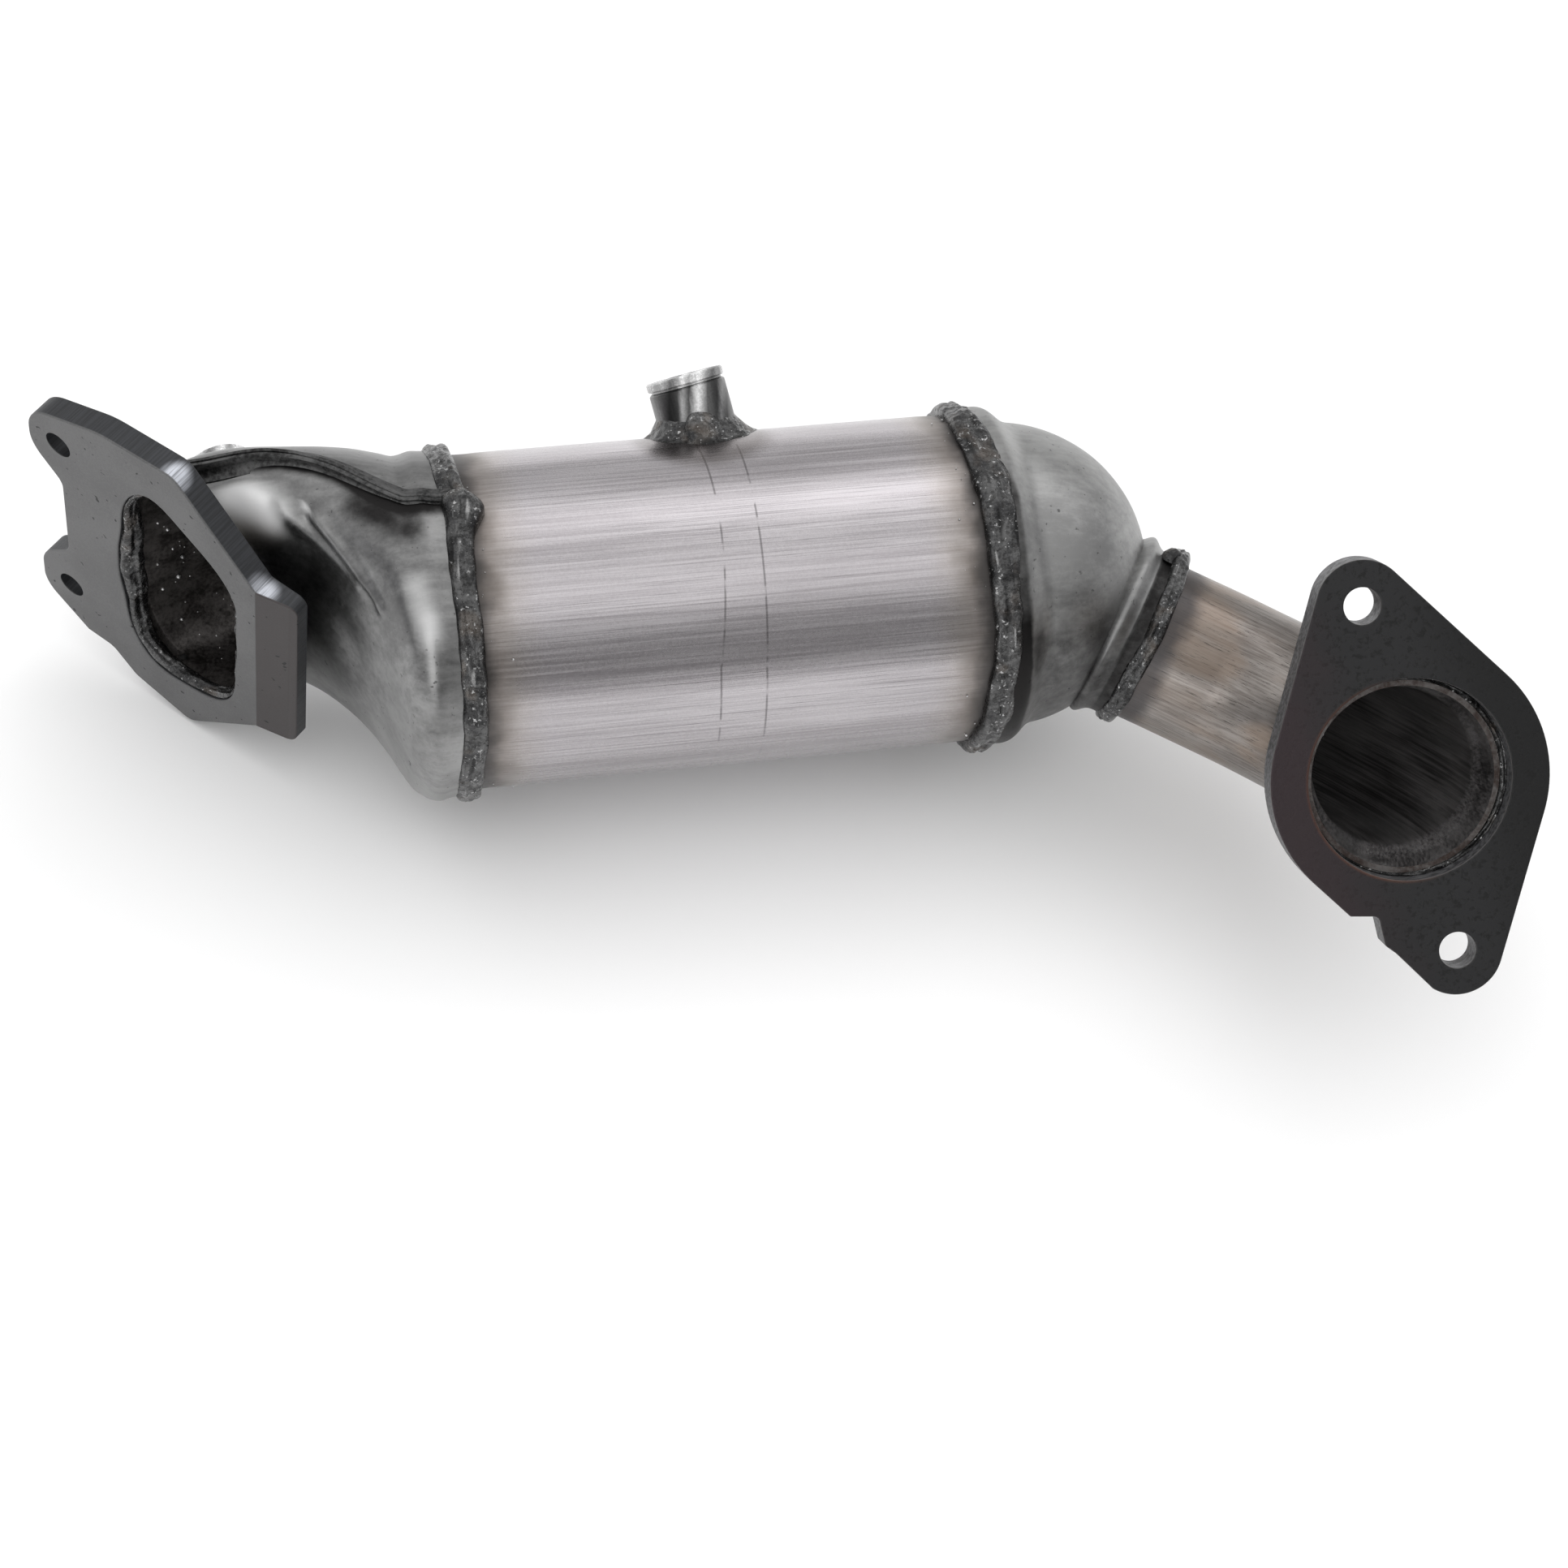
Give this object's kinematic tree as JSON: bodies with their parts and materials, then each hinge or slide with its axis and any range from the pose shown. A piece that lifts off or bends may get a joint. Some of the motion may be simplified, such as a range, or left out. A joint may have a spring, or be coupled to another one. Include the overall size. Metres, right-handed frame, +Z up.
{
  "type": "catalytic converter",
  "caption": "Exhaust catalytic converter: 45 degree D-port inlet plate on a stamped cone, round body with honeycomb bricks, domed outlet cone, bent pipe and diamond outlet plate",
  "frame": {"origin": "midway between the two inlet stud holes, on the inlet sealing face", "axes": "+X along the body from the inlet to the outlet; +Z up, within 3 degrees of the line through the inlet studs; +Y follows by the right-hand rule"},
  "size_m": [0.427, 0.2327, 0.1488],
  "materials": {
    "dark_plate": "dark mill-scale steel plate, satin",
    "weld_bead": "dark grey rippled weld metal with small spatter",
    "stamped_steel": "drawn stainless sheet, smoky grey, soft sheen",
    "body_steel": "rolled stainless tube, lengthwise brushing, straw tint beside the welds",
    "pipe_steel": "rolled stainless tube with lengthwise streaks and brown heat tint",
    "boss_steel": "turned steel, dull grey",
    "zinc_plate": "bright zinc plating",
    "honeycomb": "matt washcoated cordierite",
    "fibre_mat": "pale swelling fibre mat"
  },
  "bodies": {
    "root": {"inlet_flange": "dark_plate", "inlet_port_weld": "weld_bead", "inlet_front_shell": "stamped_steel", "inlet_rear_shell": "stamped_steel", "upstream_boss": "boss_steel", "upstream_boss_weld": "weld_bead", "upstream_plug": "zinc_plate", "inlet_body_weld": "weld_bead", "body_shell": "body_steel", "front_brick": "honeycomb", "front_mat": "fibre_mat", "rear_brick": "honeycomb", "rear_mat": "fibre_mat", "midbed_boss": "boss_steel", "midbed_boss_weld": "weld_bead", "midbed_plug": "zinc_plate", "outlet_body_weld": "weld_bead", "outlet_cone": "stamped_steel", "outlet_pipe_weld": "weld_bead", "outlet_pipe": "pipe_steel", "outlet_flange": "dark_plate", "outlet_flange_weld": "weld_bead"}
  },
  "joints": []
}
